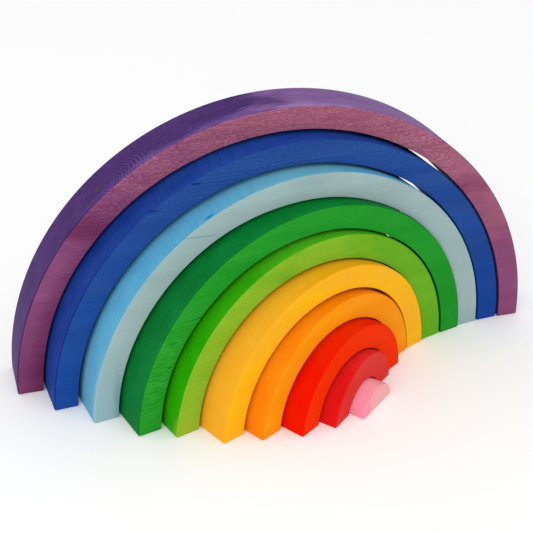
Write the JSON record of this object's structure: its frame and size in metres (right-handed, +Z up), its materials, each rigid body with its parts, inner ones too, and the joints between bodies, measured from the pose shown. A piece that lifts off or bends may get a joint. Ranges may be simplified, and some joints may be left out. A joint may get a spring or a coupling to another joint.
{
  "type": "rainbow stacker",
  "caption": "Wooden rainbow stacker: loose stained half-ring arches nested round a half-round core, standing on flat soles and fanned open for stacking and play.",
  "frame": {"origin": "on the floor, under the middle of the box round the fanned set", "axes": "+X along the widest arch to its right foot as seen from the front, +Y from the front to the back, +Z up"},
  "size_m": [0.34, 0.1197, 0.167],
  "materials": {
    "purple_stained_wood": "matte stain on sanded wood",
    "blue_stained_wood": "matte stain on sanded wood",
    "sky_stained_wood": "matte stain on sanded wood",
    "green_stained_wood": "matte stain on sanded wood",
    "lime_stained_wood": "matte stain on sanded wood",
    "yellow_stained_wood": "matte stain on sanded wood",
    "orange_stained_wood": "matte stain on sanded wood",
    "red_stained_wood": "matte stain on sanded wood",
    "crimson_stained_wood": "matte stain on sanded wood",
    "pink_stained_wood": "matte stain on sanded wood"
  },
  "bodies": {
    "purple": {"purple_arch": "purple_stained_wood"},
    "blue": {"blue_arch": "blue_stained_wood"},
    "sky": {"sky_arch": "sky_stained_wood"},
    "green": {"green_arch": "green_stained_wood"},
    "lime": {"lime_arch": "lime_stained_wood"},
    "yellow": {"yellow_arch": "yellow_stained_wood"},
    "orange": {"orange_arch": "orange_stained_wood"},
    "red": {"red_arch": "red_stained_wood"},
    "crimson": {"crimson_arch": "crimson_stained_wood"},
    "pink": {"pink_core": "pink_stained_wood"}
  },
  "joints": [
    {"name": "blue_swing", "type": "hinge", "parent": "purple", "child": "blue", "pos_m": [0.14535, 0.03804, 0], "axis": [0, 0, 1], "range_deg": [-4.3, 4]},
    {"name": "sky_swing", "type": "hinge", "parent": "blue", "child": "sky", "pos_m": [0.12837, 0.03712, 0], "axis": [0, 0, 1], "range_deg": [-4.2, 3.5]},
    {"name": "green_swing", "type": "hinge", "parent": "sky", "child": "green", "pos_m": [0.1118, 0.03298, 0], "axis": [0, 0, 1], "range_deg": [-5.1, 3]},
    {"name": "lime_swing", "type": "hinge", "parent": "green", "child": "lime", "pos_m": [0.09502, 0.03005, 0], "axis": [0, 0, 1], "range_deg": [-3.4, 3]},
    {"name": "yellow_swing", "type": "hinge", "parent": "lime", "child": "yellow", "pos_m": [0.07952, 0.0226, 0], "axis": [0, 0, 1], "range_deg": [-6.4, 1.5]},
    {"name": "orange_swing", "type": "hinge", "parent": "yellow", "child": "orange", "pos_m": [0.06375, 0.01623, 0], "axis": [0, 0, 1], "range_deg": [-4.8, 2]},
    {"name": "red_swing", "type": "hinge", "parent": "orange", "child": "red", "pos_m": [0.05021, 0.00551, 0], "axis": [0, 0, 1], "range_deg": [-4.6, 3]},
    {"name": "crimson_swing", "type": "hinge", "parent": "red", "child": "crimson", "pos_m": [0.03841, -0.00756, 0], "axis": [0, 0, 1], "range_deg": [-5.8, 0.8]},
    {"name": "core_slide", "type": "slide", "parent": "crimson", "child": "pink", "axis": [0.6239, -0.7815, 0], "range_m": [-0.0096, 0.03]}
  ]
}
